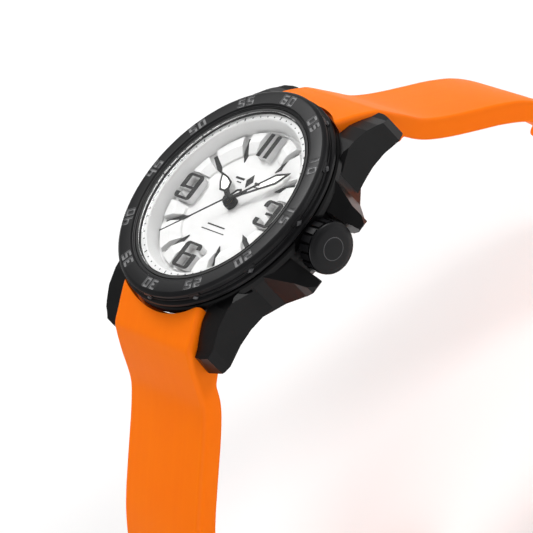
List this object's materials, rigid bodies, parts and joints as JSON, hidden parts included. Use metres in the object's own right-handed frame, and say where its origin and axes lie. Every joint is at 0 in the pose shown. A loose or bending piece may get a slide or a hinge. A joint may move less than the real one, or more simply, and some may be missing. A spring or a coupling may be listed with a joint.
{
  "type": "dive watch",
  "caption": "Round dive watch with turning bezel, screw-type crown, three hands and an open two-piece silicone strap with pin buckle.",
  "frame": {"origin": "centre of the flat case back", "axes": "+Z out of the dial along the bezel's axis, +Y towards 12 o'clock, +X towards 3 o'clock and the crown"},
  "size_m": [0.0503, 0.1301, 0.0841],
  "materials": {
    "black_case": "satin black coating",
    "bezel_black": "fine matte black coating",
    "steel": "brushed",
    "crystal": "clear polished",
    "gasket": "matte",
    "dial_white": "matte white",
    "print_black": "satin black",
    "lume": "matte luminous fill",
    "brass": "satin",
    "holder": "matte",
    "copper": "wound enamelled wire",
    "board": "satin green",
    "silicone": "matte orange silicone"
  },
  "bodies": {
    "case": {"case_middle": "black_case", "case_back": "steel", "case_back_gasket": "gasket", "click_spring": "steel", "crystal": "crystal", "crystal_gasket": "gasket", "chapter_ring": "dial_white", "minute_marks": "print_black", "dial": "dial_white", "dial_sectors": "dial_white", "hour_batons": "print_black", "numeral_blocks": "dial_white", "numeral_faces": "print_black", "spring_bar_12": "steel", "spring_bar_6": "steel", "crown_tube": "steel", "movement_ring": "holder", "main_plate": "brass", "train_bridge": "steel", "circuit_board": "board", "coil": "copper", "stator": "steel", "quartz_can": "steel", "battery": "steel", "battery_clip": "brass", "setting_lever": "steel", "movement_screws": "steel"},
    "bezel": {"bezel": "bezel_black", "bezel_studs": "bezel_black"},
    "sliding_pinion": {"sliding_pinion": "steel"},
    "crown": {"crown": "black_case", "crown_cap": "black_case", "crown_gasket": "gasket", "stem": "steel"},
    "rotor": {"rotor": "steel"},
    "fifth_wheel": {"fifth_wheel": "brass"},
    "seconds": {"fourth_wheel": "brass", "seconds_hand": "print_black"},
    "third_wheel": {"third_wheel": "brass"},
    "minutes": {"centre_wheel": "brass", "minute_hand": "print_black", "minute_lume": "lume"},
    "minute_wheel": {"minute_wheel": "brass"},
    "hours": {"hour_wheel": "brass", "hour_hand": "print_black", "hour_lume": "lume"},
    "strap_12": {"strap_12": "silicone", "keeper_fixed": "silicone", "buckle_bar": "steel"},
    "strap_6": {"strap_6": "silicone"},
    "keeper_free": {"keeper_free": "silicone"},
    "buckle_frame": {"buckle_frame": "black_case"},
    "buckle_tongue": {"buckle_tongue": "black_case"}
  },
  "joints": [
    {"name": "bezel_turn", "type": "hinge", "parent": "case", "child": "bezel", "pos_m": [0, 0, 0.0115], "axis": [0, 0, 1], "continuous": true},
    {"name": "crown_turn", "type": "hinge", "parent": "case", "child": "sliding_pinion", "pos_m": [0.008, 0, 0.0057], "axis": [1, 0, 0], "continuous": true},
    {"name": "crown_pull", "type": "slide", "parent": "sliding_pinion", "child": "crown", "axis": [1, 0, 0], "range_m": [0, 0.0015]},
    {"name": "seconds_turn", "type": "hinge", "parent": "case", "child": "seconds", "pos_m": [0, 0, 0.0036], "axis": [0, 0, -1], "continuous": true},
    {"name": "rotor_turn", "type": "hinge", "parent": "case", "child": "rotor", "pos_m": [-0.00403, -0.00247, 0.0045], "axis": [0, 0, -1], "continuous": true},
    {"name": "fifth_wheel_turn", "type": "hinge", "parent": "case", "child": "fifth_wheel", "pos_m": [-0.00335, -0.00059, 0.0045], "axis": [0, 0, -1], "continuous": true},
    {"name": "third_wheel_turn", "type": "hinge", "parent": "case", "child": "third_wheel", "pos_m": [0.0018, 0.00312, 0.0045], "axis": [0, 0, -1], "continuous": true},
    {"name": "minutes_turn", "type": "hinge", "parent": "case", "child": "minutes", "pos_m": [0, 0, 0.0051], "axis": [0, 0, -1], "continuous": true},
    {"name": "minute_wheel_turn", "type": "hinge", "parent": "case", "child": "minute_wheel", "pos_m": [0.0014, -0.00242, 0.007], "axis": [0, 0, -1], "continuous": true},
    {"name": "hours_turn", "type": "hinge", "parent": "case", "child": "hours", "pos_m": [0, 0, 0.0076], "axis": [0, 0, -1], "continuous": true},
    {"name": "strap_12_fold", "type": "hinge", "parent": "case", "child": "strap_12", "pos_m": [0, 0.025, 0.0036], "axis": [1, 0, 0], "range_deg": [-28, 0], "stiffness_Nm_per_rad": 0.04, "springref_deg": 11.46},
    {"name": "strap_6_fold", "type": "hinge", "parent": "case", "child": "strap_6", "pos_m": [0, -0.025, 0.0036], "axis": [1, 0, 0], "range_deg": [0, 28], "stiffness_Nm_per_rad": 0.04, "springref_deg": -11.46},
    {"name": "keeper_slide", "type": "slide", "parent": "strap_12", "child": "keeper_free", "axis": [0, 0.26, -0.9656], "range_m": [-0.0028, 0.0035]},
    {"name": "buckle_frame_fold", "type": "hinge", "parent": "strap_12", "child": "buckle_frame", "pos_m": [0, 0.0624, -0.06025], "axis": [1, 0, 0], "range_deg": [-45, 45]},
    {"name": "buckle_tongue_fold", "type": "hinge", "parent": "buckle_frame", "child": "buckle_tongue", "pos_m": [0, 0.0624, -0.06025], "axis": [1, 0, 0], "range_deg": [0, 70]}
  ],
  "couplings": [
    {"joint": "rotor_turn", "follows": "seconds_turn", "ratio": 30},
    {"joint": "fifth_wheel_turn", "follows": "seconds_turn", "ratio": -7.5},
    {"joint": "third_wheel_turn", "follows": "seconds_turn", "ratio": -0.125},
    {"joint": "minutes_turn", "follows": "seconds_turn", "ratio": 0.016667},
    {"joint": "minute_wheel_turn", "follows": "seconds_turn", "ratio": -0.0055556},
    {"joint": "hours_turn", "follows": "seconds_turn", "ratio": 0.0013889}
  ]
}
